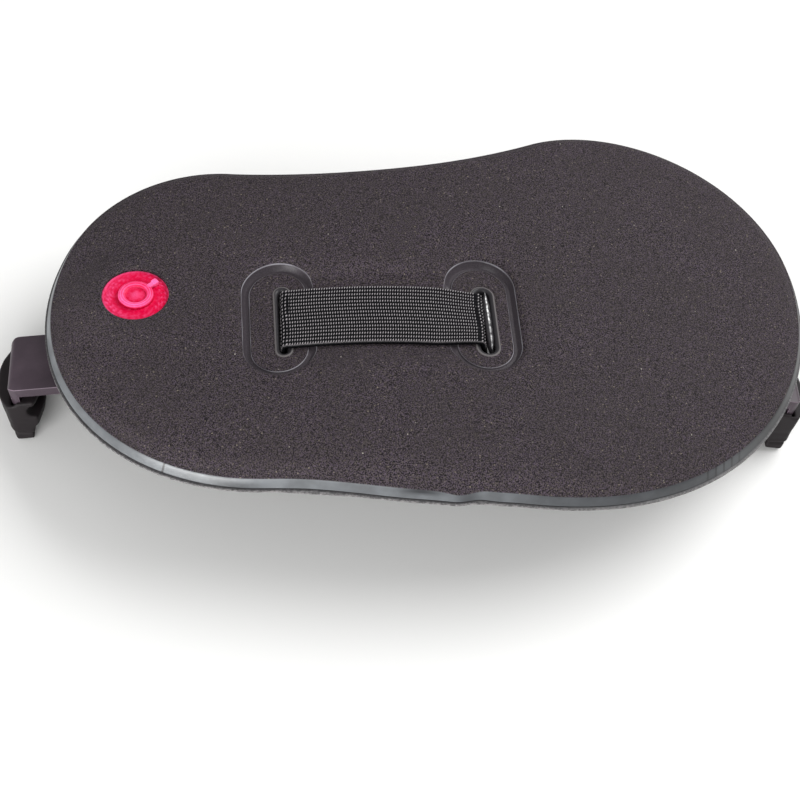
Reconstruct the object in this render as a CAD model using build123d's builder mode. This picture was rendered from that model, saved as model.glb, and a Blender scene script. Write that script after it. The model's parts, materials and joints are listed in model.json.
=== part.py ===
from build123d import *

import os
from math import atan2, cos, hypot, radians, sin, tan

# Inflatable violin shoulder rest: a bean-shaped air cushion strapped to an arched bar with adjustable arms.
# The frame is in millimetres, +Z up and +X along the bar towards the large end of the cushion.  The origin is
# midway between the two legs, in the middle of the cushion's depth, level with the soles of the boots.

os.makedirs("parts", exist_ok=True)

# ---- The roof line: a curved middle with a straight slope at each end ----
LEG_SPAN = 218.0  # across the outer faces of the two legs, for a 208 mm lower bout
SLOPE = radians(9)  # fall of each straight end
ARCH_HALF = 44.0  # half the length of the curved middle
LEG_LENGTH = 19.0  # from the arm's top face to the leg's tip, inside its boot

# ---- Arms and boots ----
BAR_Y = -10.75  # the bar's centre line, towards the player's back edge of the cushion
ARM_WIDTH = 19.0
ARM_THICK = 3.0
LEG_THICK = 2.8
ARM_INNER_END = 14.0  # where the arm starts, along the slope from the end of the curved middle
SCREW_RUN = 27.0  # where the clamp screw stands, along the slope
SLIDE_IN = 14.0  # the arm's travel towards the middle
SLIDE_OUT = 4.0  # the arm's travel outward
ARM_SLOT = 4.4  # width of the slot that the clamp screw passes through
ARM_CORNER_R = 2.5  # plan corners
ARM_BEND_R = 1.6  # outside of the bend into the leg
BOOT_WIDTH = 21.0
BOOT_TOP = -5.8  # heights here are above the arm's top face, along the leg
BOOT_BOTTOM = -20.0
SOLE_OUT = 1.3  # how far the boot's sole stands out of the leg's outer face
SOLE_IN = 3.6
BULGE = 4.5  # how far the boot's middle stands out
BULGE_LOW = 3.3  # how far it stands out at half height
BOOT_MIDDLE = -11.5
BOOT_SHOULDER = 1.4  # height of the rounded shoulder at the boot's top
BOOT_GAP = 0.02  # between the boot and the leg inside it
CREASE = -17.3  # shallow crease round the boot, above its sole
CREASE_LIP = 0.4  # height of the crease's lips
LIP_OUT = 0.5  # how far the lips stand out
GROOVE_R = 2.2  # groove that grips the overhanging edge of the violin's back, 4 mm thick
GROOVE_BACK = 6.2  # from the leg's outer face to the groove's axis
GROOVE_HEIGHT = -8.6
JAW_DEPTH = 2.2  # how far the jaws reach past the groove's axis
UPPER_JAW = 1.5  # thickness of the jaw above the groove
JAW_CORNER = 0.5
LOWER_JAW = 1.6
JAW_FOOT = -15.0  # height where the slope under the lower jaw ends
JAW_FOOT_BACK = 5.0

# ---- Bar ----
BAR_WIDTH = 25.0
BAR_RUN = 40.5  # length of the bar's straight ends, along the slope
BAR_LOW = -5.0
BAR_HIGH = 3.0
FLOOR = -3.05  # floor of the channel that each arm slides in
SIDE_GAP = 0.15
BAR_CORNER_R = 3.0
PLATFORM = (98.0, 38.0)  # wide middle of the bar under the strap
PLATFORM_CORNER_R = 12.0
DECK_UNDER = -0.5  # underside of the platform between the strap's slots
BOSS_R = 4.6
BOSS_LOW = -5.9

# ---- Clamp screws ----
SCREW_R = 1.96
INSERT_BORE_R = 2.0
INSERT_R = 3.0
INSERT_GAP = 0.01
INSERT_SINK = 0.15  # how far the insert's top lies under the channel's floor
WASHER_R = 4.6
WASHER_BORE_R = 2.1
WASHER = (0.05, 0.55)  # lowest and highest face
HEAD_R = 4.0
HEAD_HEIGHT = 1.5
HEAD_CHAMFER = 0.35
SCREW_TIP = -5.7
COIN_SLOT = (6.4, 1.2, 0.8)  # length, width and depth
COIN_SLOT_TURN = 35

# ---- Cushion ----
BASE = (3.05, 4.05)  # bottom skin
TOP = (4.07, 11.07)  # top skin, with the air chamber in it
EDGE_ROUND = 4.6
SKIN = 1.4
CHAMBER_INSET = 7.0
LEFT_END = (-57.3, 9.5, 40.0)  # centre and radius of the small lobe's outer end
LEFT_FLANK_R = 63.0
LEFT_FLANK_DROP = 8.8
RIGHT_END = (60.5, 16.0, 51.5)  # centre and radius of the large lobe's outer end
RIGHT_FLANK_R = 81.5
RIGHT_FLANK_DROP = 2.0
WAIST = (-25.2, 180.5, 134.0)  # hollow side between the lobes

# ---- Strap ----
STRAP_X = (-36.1, 19.3)  # the two slots that it passes through
STRAP_Y = BAR_Y + 1.0
STRAP_WIDTH = 21.6
STRAP_THICK = 1.2
STRAP_LOOP = (-1.85, 12.35)  # lowest and highest face of the loop
SLOT_LENGTH = 23.0
CUSHION_SLOT = 2.6
BAR_SLOT = 3.4
WELD_OVAL = (39.0, 19.5)  # welded island around each slot of the cushion
LAP_LENGTH = 16.0
LAP_MARGIN = 2.0  # from the lap's ends to the stitches
STITCH = (1.6, 0.5, 0.3)  # length, width and height
STITCHES = 7  # in each of the lap's two seams

# ---- Valve ----
VALVE_X = -75.1
VALVE_Y = 1.15
VALVE_HOLE_R = 9.0
FLANGE_R = 11.5
FLANGE_THICK = 1.0
STEM_R = 4.2
STEM_BORE_R = 2.6
STEM_LOW = 6.6
PLUG_R = 4.8
PLUG_HEIGHT = 1.3
PLUG_DIMPLE_R = 2.7
PLUG_DIMPLE_FLOOR = 0.4
SHANK_GAP = 0.05  # between the plug's shank and the stem
SHANK_LOW = 0.3  # from the stem's lower end
FACE_GAP = 0.02  # between valve pieces that lie on each other
TAB_LENGTH = 3.6
TAB_WIDTH = 1.5
TAB_ROOT = 1.2  # how far the tab starts inside the plug's rim
TAB_STEP = 0.1  # from the plug's faces to the tab's
TAB_TURN = 220  # the tab's direction about the valve's axis, in degrees
FLAP_R = 3.4
FLAP_THICK = 0.4

CORNER_Z = -BOOT_BOTTOM * cos(SLOPE) + SOLE_OUT * sin(SLOPE)
TANGENT_Z = CORNER_Z + (LEG_SPAN / 2 - ARCH_HALF) * tan(SLOPE)
ARCH_R = ARCH_HALF / sin(SLOPE)
CROWN_Z = TANGENT_Z - ARCH_R * cos(SLOPE) + ARCH_R
LEG_RUN = (LEG_SPAN / 2 - ARCH_HALF) / cos(SLOPE)
TALL = 60.0  # taller than the whole object
PAST = 1.0  # how far a cut runs past the surface that it opens


def roof_point(side, run, height):
    """Side view of a point at a distance along the slope and a height above the arm's top face."""
    x = ARCH_HALF + run * cos(SLOPE) + height * sin(SLOPE)
    z = TANGENT_Z - run * sin(SLOPE) + height * cos(SLOPE)
    return (side * x, z)


def roof_layer(low, high):
    """Layer that follows the roof line between two heights, longer and deeper than any piece."""
    end_run = LEG_RUN + BOOT_WIDTH
    with BuildPart() as layer:
        with BuildSketch(Plane.XZ):
            with BuildLine():
                for height in (low, high):
                    left, right = roof_point(-1, 0, height), roof_point(1, 0, height)
                    Line(roof_point(-1, end_run, height), left)
                    ThreePointArc(left, (0, CROWN_Z + height), right)
                    Line(right, roof_point(1, end_run, height))
                for side in (-1, 1):
                    Line(roof_point(side, end_run, low), roof_point(side, end_run, high))
            make_face()
        extrude(amount=2 * TALL, both=True)
    return layer.part


def upright(plan):
    """Upright block over a plan, taller than the whole object."""
    with BuildPart() as block:
        add(plan)
        extrude(amount=TALL)
    return block.part


def roof_solid(plan, low, high):
    """Solid that covers a plan between two heights along the roof line."""
    with BuildPart() as solid:
        add(upright(plan))
        add(roof_layer(low, high), mode=Mode.INTERSECT)
    return solid.part


def slope_plane(side, run, across=0.0):
    """Plane on the arm's top face, with local X outward along the slope and local Z square to it."""
    x, z = roof_point(side, run, 0)
    return Plane(
        origin=(x, BAR_Y + across, z),
        x_dir=(side * cos(SLOPE), 0, -sin(SLOPE)),
        z_dir=(side * sin(SLOPE), 0, cos(SLOPE)),
    )


def profile_plane(side):
    """Side view plane of an arm: local X outward along the slope from the leg's outer face, local Y up."""
    x, z = roof_point(side, LEG_RUN, 0)
    return Plane(
        origin=(x, BAR_Y, z),
        x_dir=(side * cos(SLOPE), 0, -sin(SLOPE)),
        z_dir=(0, -side, 0),
    )


def toward(circle, point, flip=1):
    """Point of a circle on the line from its centre to another point, or opposite that point."""
    angle = atan2(point[1] - circle[1], point[0] - circle[0])
    return (circle[0] + flip * circle[2] * cos(angle), circle[1] + flip * circle[2] * sin(angle))


def flank(end, radius, drop, side):
    """Larger circle that a lobe's end circle touches from inside, with its centre lower and further in."""
    apart = radius - end[2]
    return (end[0] + side * (apart**2 - drop**2) ** 0.5, end[1] - drop, radius)


def middle(circle, start, finish):
    """Point of a circle halfway between two of its points."""
    return toward(circle, ((start[0] + finish[0]) / 2, (start[1] + finish[1]) / 2))


def cushion_plan(inset):
    """Bean-shaped outline of the cushion, drawn in by an inset."""
    left_flank = flank(LEFT_END, LEFT_FLANK_R, LEFT_FLANK_DROP, 1)
    right_flank = flank(RIGHT_END, RIGHT_FLANK_R, RIGHT_FLANK_DROP, -1)
    left_join = toward(LEFT_END, left_flank, -1)
    right_join = toward(RIGHT_END, right_flank, -1)
    waist_left = toward(LEFT_END, WAIST)
    waist_right = toward(RIGHT_END, WAIST)
    across, down = right_flank[0] - left_flank[0], right_flank[1] - left_flank[1]
    turn = atan2(down, across) - (radians(90) + (RIGHT_FLANK_R - LEFT_FLANK_R) / hypot(across, down))
    low_left = (left_flank[0] + LEFT_FLANK_R * cos(turn), left_flank[1] + LEFT_FLANK_R * sin(turn))
    low_right = (right_flank[0] + RIGHT_FLANK_R * cos(turn), right_flank[1] + RIGHT_FLANK_R * sin(turn))
    with BuildSketch() as plan:
        with BuildLine():
            ThreePointArc(waist_left, middle(LEFT_END, waist_left, left_join), left_join)
            ThreePointArc(left_join, middle(left_flank, left_join, low_left), low_left)
            Line(low_left, low_right)
            ThreePointArc(low_right, middle(right_flank, low_right, right_join), right_join)
            ThreePointArc(right_join, middle(RIGHT_END, right_join, waist_right), waist_right)
            ThreePointArc(waist_right, middle(WAIST, waist_right, waist_left), waist_left)
        make_face()
        if inset:
            offset(amount=-inset, kind=Kind.INTERSECTION)
    return plan.sketch


def strap_slots(length, width):
    """Plan of the two slots that the strap passes through, or of the islands around them."""
    with BuildSketch() as plan:
        for x in STRAP_X:
            with Locations((x, STRAP_Y)):
                SlotOverall(length, width, rotation=90)
    return plan.sketch


def strap_plan(length, width):
    """Rectangle centred between the strap's two slots."""
    with BuildSketch() as plan:
        with Locations((sum(STRAP_X) / 2, STRAP_Y)):
            Rectangle(length, width)
    return plan.sketch


def disc(plane, low, high, radius):
    """Round slab square to a plane, between two heights above it."""
    with BuildPart() as slab:
        with BuildSketch(plane.offset(low)):
            Circle(radius)
        extrude(amount=high - low)
    return slab.part


def bar_plan():
    """Plan of the bar, wider under the strap."""
    with BuildSketch() as plan:
        with Locations((0, BAR_Y)):
            RectangleRounded(2 * roof_point(1, BAR_RUN, 0)[0], BAR_WIDTH, BAR_CORNER_R)
            RectangleRounded(*PLATFORM, PLATFORM_CORNER_R)
    return plan.sketch


# ---- Arched bar ----
RECESS_LENGTH = STRAP_X[1] - STRAP_X[0] + BAR_SLOT
with BuildPart() as bridge_bar:
    add(roof_solid(bar_plan(), BAR_LOW, BAR_HIGH))
    for end in (-1, 1):
        add(disc(slope_plane(end, SCREW_RUN), BOSS_LOW, FLOOR, BOSS_R))
        with BuildSketch(slope_plane(end, LEG_RUN / 2 - PAST).offset(FLOOR)):
            Rectangle(LEG_RUN, ARM_WIDTH + 2 * SIDE_GAP)
        extrude(amount=BAR_HIGH - FLOOR + PAST, mode=Mode.SUBTRACT)
        add(disc(slope_plane(end, SCREW_RUN), BOSS_LOW, FLOOR, INSERT_R + INSERT_GAP), mode=Mode.SUBTRACT)
    add(upright(strap_slots(SLOT_LENGTH + PAST, BAR_SLOT)), mode=Mode.SUBTRACT)
    # The strap's lower run lies in a recess under the platform.
    recess = strap_plan(RECESS_LENGTH, SLOT_LENGTH + PAST)
    add(roof_solid(recess, BAR_LOW - PAST, DECK_UNDER), mode=Mode.SUBTRACT)
bridge_bar.part.label = "bridge_bar"
export_step(bridge_bar.part, "parts/bridge_bar.step")

# ---- Brass inserts that the clamp screws turn in ----
with BuildPart() as threaded_inserts:
    for end in (-1, 1):
        spot = slope_plane(end, SCREW_RUN)
        add(disc(spot, BOSS_LOW, FLOOR - INSERT_SINK, INSERT_R))
        add(disc(spot, BOSS_LOW, FLOOR, INSERT_BORE_R), mode=Mode.SUBTRACT)
threaded_inserts.part.label = "threaded_inserts"
export_step(threaded_inserts.part, "parts/threaded_inserts.step")


def make_arm(side):
    """Flat arm with a slot for its clamp screw, bent down into a leg at its outer end."""
    with BuildPart() as arm:
        with BuildSketch(profile_plane(side)):
            with BuildLine():
                Polyline(
                    (ARM_INNER_END - LEG_RUN, 0),
                    (0, 0),
                    (0, -LEG_LENGTH),
                    (-LEG_THICK, -LEG_LENGTH),
                    (-LEG_THICK, -ARM_THICK),
                    (ARM_INNER_END - LEG_RUN, -ARM_THICK),
                    close=True,
                )
            make_face()
        extrude(amount=ARM_WIDTH / 2, both=True)
        across = arm.edges().filter_by(Axis.Y)
        fillet(across.sort_by(lambda edge: side * edge.center().X + edge.center().Z)[-1], ARM_BEND_R)
        with BuildSketch(slope_plane(side, (ARM_INNER_END + LEG_RUN) / 2).offset(-LEG_LENGTH)):
            RectangleRounded(LEG_RUN - ARM_INNER_END, ARM_WIDTH, ARM_CORNER_R)
        extrude(amount=LEG_LENGTH, mode=Mode.INTERSECT)
        slot_length = SLIDE_IN + SLIDE_OUT + ARM_SLOT
        with BuildSketch(slope_plane(side, SCREW_RUN + (SLIDE_IN - SLIDE_OUT) / 2)):
            SlotOverall(slot_length, ARM_SLOT)
        extrude(amount=-ARM_THICK, mode=Mode.SUBTRACT)
    return arm.part


def boot_profile():
    """Side view of a boot: a round bulge outside, and a groove between two jaws on the violin's side."""
    jaw = -GROOVE_BACK - JAW_DEPTH
    low_jaw = jaw + LOWER_JAW / 4
    groove_top = GROOVE_HEIGHT + GROOVE_R
    groove_low = GROOVE_HEIGHT - GROOVE_R
    brow = groove_top + UPPER_JAW
    shoulder = (BULGE - 0.8 * BOOT_SHOULDER, BOOT_TOP)
    shoulder_side = (BULGE - 0.2 * BOOT_SHOULDER, BOOT_TOP - 0.3 * BOOT_SHOULDER)
    shoulder_low = (BULGE, BOOT_TOP - BOOT_SHOULDER)
    with BuildLine() as outline:
        Polyline(
            (-GROOVE_BACK, groove_top),
            (jaw, groove_top),
            (jaw, brow - JAW_CORNER),
            (jaw + JAW_CORNER, brow),
            (-LEG_THICK / 2, brow),
            (-LEG_THICK / 2, BOOT_TOP),
            shoulder,
        )
        ThreePointArc(shoulder, shoulder_side, shoulder_low)
        Polyline(
            shoulder_low,
            (BULGE_LOW, BOOT_MIDDLE),
            (SOLE_OUT + LIP_OUT, CREASE + CREASE_LIP),
            (SOLE_OUT, CREASE),
            (SOLE_OUT + LIP_OUT / 2, CREASE - CREASE_LIP),
            (SOLE_OUT, BOOT_BOTTOM),
            (-SOLE_IN, BOOT_BOTTOM),
            (-SOLE_IN - LIP_OUT, CREASE),
            (-JAW_FOOT_BACK, JAW_FOOT),
            (low_jaw, groove_low - LOWER_JAW),
            (low_jaw, groove_low),
            (-GROOVE_BACK, groove_low),
        )
        ThreePointArc(
            (-GROOVE_BACK, groove_low),
            (-GROOVE_BACK + GROOVE_R, GROOVE_HEIGHT),
            (-GROOVE_BACK, groove_top),
        )
    return outline.line


def boot_plan():
    """Plan of a boot, bowed on both faces and flat on its two ends."""
    half = BOOT_WIDTH / 2
    outside = BULGE - 0.8 * BULGE
    inside = -GROOVE_BACK
    with BuildLine() as outline:
        Line((outside, -half), (inside, -half))
        ThreePointArc((inside, -half), (inside - JAW_DEPTH, 0), (inside, half))
        Line((inside, half), (outside, half))
        ThreePointArc((outside, half), (BULGE, 0), (outside, -half))
    return outline.line


def make_boot(side):
    """Rubber boot around a leg."""
    with BuildPart() as boot:
        with BuildSketch(profile_plane(side)):
            add(boot_profile())
            make_face()
        extrude(amount=BOOT_WIDTH / 2, both=True)
        with BuildSketch(slope_plane(side, LEG_RUN).offset(BOOT_BOTTOM)):
            add(boot_plan())
            make_face()
        extrude(amount=-BOOT_BOTTOM, mode=Mode.INTERSECT)
        with BuildSketch(slope_plane(side, LEG_RUN - LEG_THICK / 2).offset(-LEG_LENGTH - BOOT_GAP)):
            Rectangle(LEG_THICK + 2 * BOOT_GAP, ARM_WIDTH + 2 * BOOT_GAP)
        extrude(amount=LEG_LENGTH, mode=Mode.SUBTRACT)
    return boot.part


def make_screw(side):
    """Low-headed clamp screw with a coin slot."""
    spot = slope_plane(side, SCREW_RUN)
    with BuildPart() as screw:
        add(disc(spot, SCREW_TIP, WASHER[1], SCREW_R))
        add(disc(spot, WASHER[1], WASHER[1] + HEAD_HEIGHT, HEAD_R))
        chamfer(screw.edges().filter_by(GeomType.CIRCLE).sort_by(Axis.Z)[-1], HEAD_CHAMFER)
        with BuildSketch(spot.offset(WASHER[1] + HEAD_HEIGHT)):
            SlotOverall(COIN_SLOT[0], COIN_SLOT[1], rotation=COIN_SLOT_TURN)
        extrude(amount=-COIN_SLOT[2], mode=Mode.SUBTRACT)
    return screw.part


def make_washer(side):
    """Flat washer under a screw head."""
    spot = slope_plane(side, SCREW_RUN)
    with BuildPart() as washer:
        add(disc(spot, WASHER[0], WASHER[1], WASHER_R))
        add(disc(spot, WASHER[0], WASHER[1], WASHER_BORE_R), mode=Mode.SUBTRACT)
    return washer.part


# ---- Arms, boots, clamp screws and washers, one of each at both ends ----
for hand, end in (("left", -1), ("right", 1)):
    for word, maker in (
        ("arm", make_arm),
        ("boot", make_boot),
        ("clamp_screw", make_screw),
        ("clamp_washer", make_washer),
    ):
        piece = maker(end)
        piece.label = f"{hand}_{word}"
        export_step(piece, f"parts/{hand}_{word}.step")

# ---- Bottom skin of the cushion ----
with BuildPart() as cushion_base:
    add(roof_solid(cushion_plan(0), *BASE))
    add(upright(strap_slots(SLOT_LENGTH, CUSHION_SLOT)), mode=Mode.SUBTRACT)
cushion_base.part.label = "cushion_base"
export_step(cushion_base.part, "parts/cushion_base.step")

# ---- Top skin of the cushion, with the air chamber around its welded islands ----
VALVE_RUN = (-VALVE_X - ARCH_HALF - TOP[1] * sin(SLOPE)) / cos(SLOPE)
valve_spot = slope_plane(-1, VALVE_RUN, VALVE_Y - BAR_Y)
with BuildPart() as chamber:
    add(roof_solid(cushion_plan(CHAMBER_INSET), TOP[0] - PAST, TOP[1] - SKIN))
    add(upright(strap_slots(*WELD_OVAL)), mode=Mode.SUBTRACT)
with BuildPart() as cushion_top:
    add(roof_solid(cushion_plan(0), *TOP))
    upper_faces = cushion_top.faces().filter_by(lambda face: face.normal_at().Z > sin(radians(45)))
    fillet(upper_faces.edges().filter_by(Axis.Y, reverse=True), EDGE_ROUND)
    add(chamber.part, mode=Mode.SUBTRACT)
    add(upright(strap_slots(SLOT_LENGTH, CUSHION_SLOT)), mode=Mode.SUBTRACT)
    add(disc(valve_spot, TOP[0], TOP[1] + PAST, VALVE_HOLE_R), mode=Mode.SUBTRACT)
cushion_top.part.label = "cushion_top"
export_step(cushion_top.part, "parts/cushion_top.step")

# ---- Elastic strap, a closed loop over the cushion and under the bar's platform ----
SLOT_SPAN = STRAP_X[1] - STRAP_X[0]
LAP_TOP = STRAP_LOOP[0]
with BuildPart() as strap:
    add(roof_solid(strap_plan(SLOT_SPAN + STRAP_THICK, STRAP_WIDTH), *STRAP_LOOP))
    opening = strap_plan(SLOT_SPAN - STRAP_THICK, STRAP_WIDTH)
    inside = roof_solid(opening, STRAP_LOOP[0] + STRAP_THICK, STRAP_LOOP[1] - STRAP_THICK)
    add(inside, mode=Mode.SUBTRACT)
    add(roof_solid(strap_plan(LAP_LENGTH, STRAP_WIDTH), LAP_TOP - STRAP_THICK, LAP_TOP))
strap.part.label = "strap"
export_step(strap.part, "parts/strap.step")

# ---- Stitches that close the strap's lap under the bar ----
with BuildSketch() as stitch_plan:
    with Locations((sum(STRAP_X) / 2, STRAP_Y)):
        with GridLocations(LAP_LENGTH - 2 * LAP_MARGIN, STRAP_WIDTH / (STITCHES + 1), 2, STITCHES):
            SlotOverall(STITCH[0], STITCH[1], rotation=90)
with BuildPart() as strap_stitching:
    lap_low = LAP_TOP - STRAP_THICK
    add(roof_solid(stitch_plan.sketch, lap_low - STITCH[2], lap_low))
strap_stitching.part.label = "strap_stitching"
export_step(strap_stitching.part, "parts/strap_stitching.step")

# ---- Valve body: a flange welded under the top skin, with a short stem ----
FLANGE_TOP = TOP[1] - SKIN - FACE_GAP
with BuildPart() as valve_body:
    add(disc(valve_spot, FLANGE_TOP - FLANGE_THICK, FLANGE_TOP, FLANGE_R))
    add(disc(valve_spot, STEM_LOW, FLANGE_TOP, STEM_R))
    add(disc(valve_spot, STEM_LOW, FLANGE_TOP, STEM_BORE_R), mode=Mode.SUBTRACT)
valve_body.part.label = "valve_body"
export_step(valve_body.part, "parts/valve_body.step")

# ---- Valve plug: a ring-shaped cap with a centre dimple, a shank and a pull tab ----
PLUG_LOW = FLANGE_TOP + FACE_GAP
PLUG_TOP = PLUG_LOW + PLUG_HEIGHT
DIMPLE_LOW = PLUG_LOW + PLUG_DIMPLE_FLOOR
with BuildPart() as valve_plug:
    add(disc(valve_spot, PLUG_LOW, PLUG_TOP, PLUG_R))
    with BuildSketch(valve_spot.offset(PLUG_LOW + TAB_STEP)):
        with PolarLocations(PLUG_R - TAB_ROOT + TAB_LENGTH / 2, 1, start_angle=TAB_TURN):
            Rectangle(TAB_LENGTH, TAB_WIDTH)
    extrude(amount=PLUG_HEIGHT - 2 * TAB_STEP)
    add(disc(valve_spot, STEM_LOW + SHANK_LOW, DIMPLE_LOW, STEM_BORE_R - SHANK_GAP))
    add(disc(valve_spot, DIMPLE_LOW, PLUG_TOP, PLUG_DIMPLE_R), mode=Mode.SUBTRACT)
valve_plug.part.label = "valve_plug"
export_step(valve_plug.part, "parts/valve_plug.step")

# ---- Non-return flap under the stem, hinged at the stem's outer edge ----
FLAP_TOP = STEM_LOW - FACE_GAP
with BuildPart() as valve_flap:
    add(disc(valve_spot, FLAP_TOP - FLAP_THICK, FLAP_TOP, FLAP_R))
valve_flap.part.label = "valve_flap"
export_step(valve_flap.part, "parts/valve_flap.step")
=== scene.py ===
"""Looks of the violin shoulder rest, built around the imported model.

Sizes are in millimetres until a mesh is made.  A level is a height above the top face of the arms, measured
square to the bar's roof line, and a plan position is given by the x and y of the model's frame.
"""

import json
import math

import bmesh
import bpy
import numpy as np
from mathutils import Matrix, Vector, geometry
from mathutils.bvhtree import BVHTree

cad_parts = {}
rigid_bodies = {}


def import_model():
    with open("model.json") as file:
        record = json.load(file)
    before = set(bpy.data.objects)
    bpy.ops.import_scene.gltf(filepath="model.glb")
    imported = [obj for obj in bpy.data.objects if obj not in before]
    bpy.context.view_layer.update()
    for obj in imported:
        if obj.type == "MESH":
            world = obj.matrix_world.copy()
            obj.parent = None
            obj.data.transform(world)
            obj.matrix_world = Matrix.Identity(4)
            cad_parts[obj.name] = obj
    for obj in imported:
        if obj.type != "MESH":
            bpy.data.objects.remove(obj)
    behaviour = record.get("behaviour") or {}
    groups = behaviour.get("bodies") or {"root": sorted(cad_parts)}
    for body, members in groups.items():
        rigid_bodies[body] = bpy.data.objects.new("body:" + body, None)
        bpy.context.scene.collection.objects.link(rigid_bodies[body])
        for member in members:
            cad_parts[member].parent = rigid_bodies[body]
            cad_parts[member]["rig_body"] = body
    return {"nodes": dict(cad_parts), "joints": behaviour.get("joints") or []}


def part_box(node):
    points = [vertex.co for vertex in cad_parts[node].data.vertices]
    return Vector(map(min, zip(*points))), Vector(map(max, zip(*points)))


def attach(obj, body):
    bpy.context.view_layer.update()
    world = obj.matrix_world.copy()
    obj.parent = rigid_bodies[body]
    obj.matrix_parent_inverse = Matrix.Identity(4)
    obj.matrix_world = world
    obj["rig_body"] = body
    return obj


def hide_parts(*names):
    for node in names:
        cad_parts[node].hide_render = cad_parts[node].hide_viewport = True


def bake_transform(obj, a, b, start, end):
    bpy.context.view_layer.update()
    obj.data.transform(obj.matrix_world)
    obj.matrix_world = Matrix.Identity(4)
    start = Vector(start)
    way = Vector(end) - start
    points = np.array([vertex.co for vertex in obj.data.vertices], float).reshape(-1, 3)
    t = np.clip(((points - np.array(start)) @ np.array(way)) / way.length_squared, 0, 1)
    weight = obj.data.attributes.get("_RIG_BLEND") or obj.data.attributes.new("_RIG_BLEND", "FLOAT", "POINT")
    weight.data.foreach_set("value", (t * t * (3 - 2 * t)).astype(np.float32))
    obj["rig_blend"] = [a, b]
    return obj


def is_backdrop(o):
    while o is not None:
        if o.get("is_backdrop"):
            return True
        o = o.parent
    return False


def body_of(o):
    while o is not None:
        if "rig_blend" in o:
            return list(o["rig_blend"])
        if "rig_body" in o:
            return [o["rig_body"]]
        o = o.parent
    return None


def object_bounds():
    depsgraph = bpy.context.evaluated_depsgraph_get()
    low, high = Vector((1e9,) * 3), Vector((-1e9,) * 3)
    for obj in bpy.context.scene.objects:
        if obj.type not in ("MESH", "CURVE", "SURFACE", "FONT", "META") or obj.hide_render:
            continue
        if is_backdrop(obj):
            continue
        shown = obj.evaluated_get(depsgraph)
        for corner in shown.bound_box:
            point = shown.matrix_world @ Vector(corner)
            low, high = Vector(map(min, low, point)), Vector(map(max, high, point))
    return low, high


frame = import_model()
cad_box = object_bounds()

MM = 0.001
JOINTS = {joint["name"]: joint for joint in frame["joints"]}

# ---- The bar's roof line, from the frame ----
SLOPE = math.asin(JOINTS["right_screw_turn"]["axis"][0])
ARCH_HALF = 44.0  # the middle is an arc this far each way, and the ends are straight
ARCH_R = ARCH_HALF / math.sin(SLOPE)
BAR_HIGH = 3.0  # level of the bar's top face
ARCH_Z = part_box("bridge_bar")[1].z / MM - BAR_HIGH - ARCH_R
BAR_Y = (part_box("left_arm")[0].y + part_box("left_arm")[1].y) / 2 / MM

# ---- Cushion ----
LEFT_END = (-57.3, 9.5, 40.0)  # centre and radius of the small lobe's outer end
LEFT_FLANK_R = 63.0
LEFT_FLANK_DROP = 8.8
RIGHT_END = (60.5, 16.0, 51.5)
RIGHT_FLANK_R = 81.5
RIGHT_FLANK_DROP = 2.0
WAIST = (-25.2, 180.5, 134.0)  # hollow side between the lobes
BASE_LOW = 3.05  # level of the bottom skin's underside
BASE_THICK = 1.0
BASE_PROUD = 0.5  # how far its cut edge stands out past the rim
TOP_LOW = 4.07  # level of the top skin's underside at the rim
SKIN = 1.4
PUFF = 3.7  # rise of the crowned skin above its rim
EDGE_D = (0.0, 0.1, 0.35, 0.75, 1.02, 1.2, 1.45, 1.9, 2.8, 4.2)  # distances in from the rim
EDGE_H = (0.0, 0.25, 0.85, 1.78, 2.28, 2.45, 2.56, 2.66, 2.78, 2.88)  # heights of the skin there
BAND_WIDTH = 1.15
WELD_DEEP = 0.35
SLOT_LIP = 0.22

# ---- Front of the cushion, where the rim hangs free ----
SAG_START, SAG_FULL, SAG_RISE, SAG_END = -36, -2, 7, 15  # along x
SAG_OUT = 1.25
SAG_DOWN = 1.05
FOLD_X = 6.0  # where the skin's soft fold crosses y = -50
FOLD_LEAN = 0.10
FOLD_DEEP = 1.5
PINCH_X = 9.0  # where the fold narrows the band
# Stretches of the band where its painted sheen differs, as painted shade and painted highlight: how much
# paler, x, half-length, and which side of the band.
BAND_SHEEN_STRETCHES = (
    (-0.85, -1.5, 5.0, "inner"),
    (-0.6, 10.0, 3.5, "whole"),
    (0.35, 16.5, 3.5, "inner"),
    (-0.6, -47.0, 6.0, "outer"),
)
# Painted shade in the rim's nick and creases, as dark strokes: plan position, direction they repeat in,
# pitch, reach and strength.
RIM_SHADES = (
    ((-66.2, -54.0), (0.86, -0.5), 20.0, 2.0, 1.0),
    ((80.2, -50.2), (0.97, 0.25), 2.9, 9.5, 0.75),
)

# ---- Strap, slots and the welds around them ----
STRAP_LOW, STRAP_HIGH = (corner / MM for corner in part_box("strap"))
STRAP_THICK = 1.2
STRAP_WIDTH = STRAP_HIGH.y - STRAP_LOW.y
STRAP_Y = (STRAP_LOW.y + STRAP_HIGH.y) / 2
STRAP_X = (STRAP_LOW.x + STRAP_THICK / 2, STRAP_HIGH.x - STRAP_THICK / 2)
STRAP_TOP_X = (STRAP_X[0] + 0.5, STRAP_X[1] - 1.8)  # where its upper run meets the slots
STRAP_BOTTOM = -1.85  # level of the lower face of its run under the bar
STRAP_DRAWN = 0.92  # share of its width that is left when it is drawn tight
LAP_HALF = 8.0
RIBS = 16
RIB_PITCH = STRAP_WIDTH / RIBS
FLOAT_PITCH = 0.68  # from one float of the weave to the next along a rib
LEAN = math.radians(1.5)
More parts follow.
